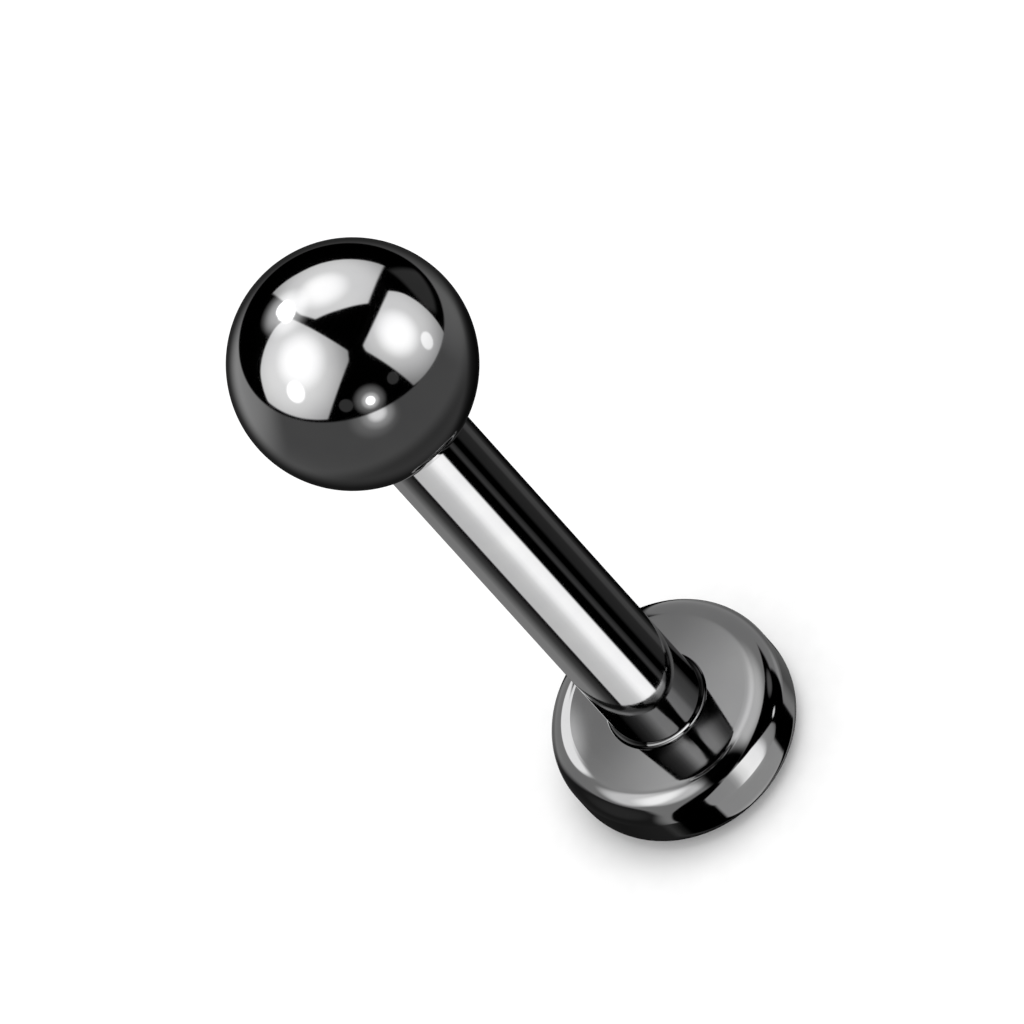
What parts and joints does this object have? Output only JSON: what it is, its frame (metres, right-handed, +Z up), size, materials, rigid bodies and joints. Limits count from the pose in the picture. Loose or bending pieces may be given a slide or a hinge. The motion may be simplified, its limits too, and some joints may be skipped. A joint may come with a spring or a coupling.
{
  "type": "labret stud",
  "caption": "Labret stud in black titanium: a thick round disc with rounded edges, a straight bar, and a polished ball that screws onto the bar's threaded end.",
  "frame": {"origin": "centre of the disc's back face, on which the stud stands", "axes": "+Z up the bar from the disc to the ball; X and Y are any two directions across it"},
  "size_m": [0.003, 0.003, 0.012],
  "materials": {
    "black_titanium": "mirror polished titanium with a black vapour-deposited coating",
    "bare_titanium": "bare machined titanium on the thread"
  },
  "bodies": {
    "post": {"labret_post": "black_titanium"},
    "ball": {"ball": "black_titanium"}
  },
  "joints": [
    {"name": "ball_off", "type": "slide", "parent": "post", "child": "ball", "axis": [0, 0, 1], "range_m": [0, 0.0026]}
  ]
}
